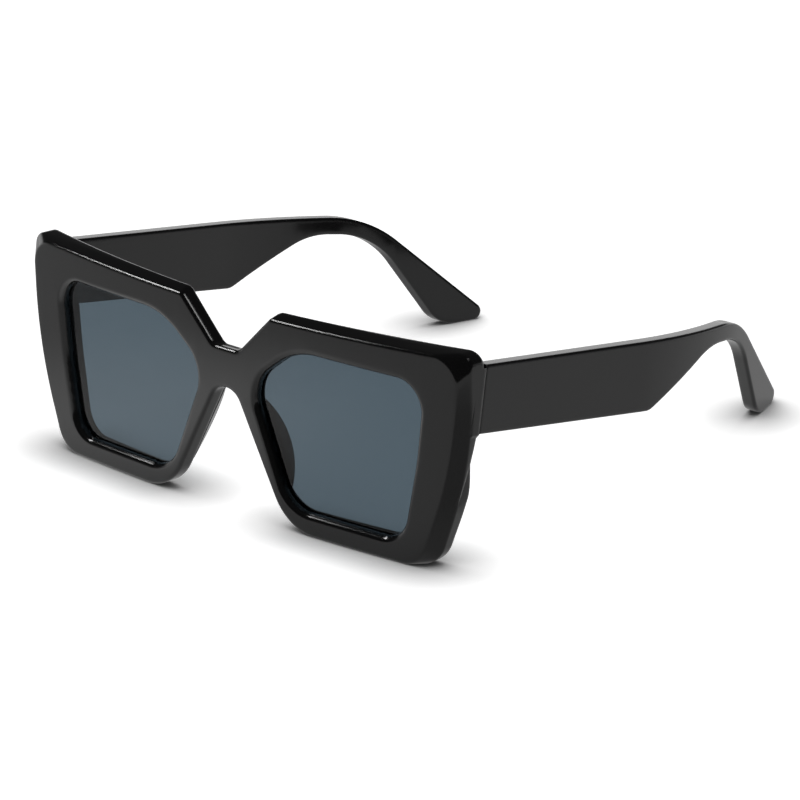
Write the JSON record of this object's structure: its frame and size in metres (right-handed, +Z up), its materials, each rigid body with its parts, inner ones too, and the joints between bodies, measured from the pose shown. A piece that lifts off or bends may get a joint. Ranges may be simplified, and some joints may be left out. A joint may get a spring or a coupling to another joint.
{
  "type": "sunglasses",
  "caption": "Oversized angular sunglasses: a thick bevelled black front, grey see-through lenses, nose pads and wide flat temples that fold inward on screwed hinges.",
  "frame": {"origin": "on the ground under the middle of the glasses as they stand open, on the rims and the tips of the temples", "axes": "+X to the wearer's left, +Y to the back along the temples, +Z up"},
  "size_m": [0.1448, 0.1438, 0.0534],
  "materials": {
    "frame": "polished black acetate",
    "lens": "grey tint, see-through",
    "pad": "polished black acetate",
    "metal": "satin"
  },
  "bodies": {
    "front": {"front_frame": "frame", "front_hinge_left": "metal", "front_hinge_right": "metal", "front_hinge_screws_left": "metal", "front_hinge_screws_right": "metal", "hinge_screw_left": "metal", "hinge_screw_right": "metal", "lens_left": "lens", "lens_right": "lens", "nose_pad_left": "pad", "nose_pad_right": "pad"},
    "temple_left_arm": {"temple_core_left": "metal", "temple_hinge_left": "metal", "temple_hinge_screws_left": "metal", "temple_left": "frame"},
    "temple_right_arm": {"temple_core_right": "metal", "temple_hinge_right": "metal", "temple_hinge_screws_right": "metal", "temple_right": "frame"}
  },
  "joints": [
    {"name": "temple_fold_left", "type": "hinge", "parent": "front", "child": "temple_left_arm", "pos_m": [0.06665, -0.05925, 0.04257], "axis": [0, 0.0262, 0.9997], "range_deg": [0, 82]},
    {"name": "temple_fold_right", "type": "hinge", "parent": "front", "child": "temple_right_arm", "pos_m": [-0.06665, -0.05925, 0.04257], "axis": [0, -0.0262, -0.9997], "range_deg": [0, 71]}
  ]
}
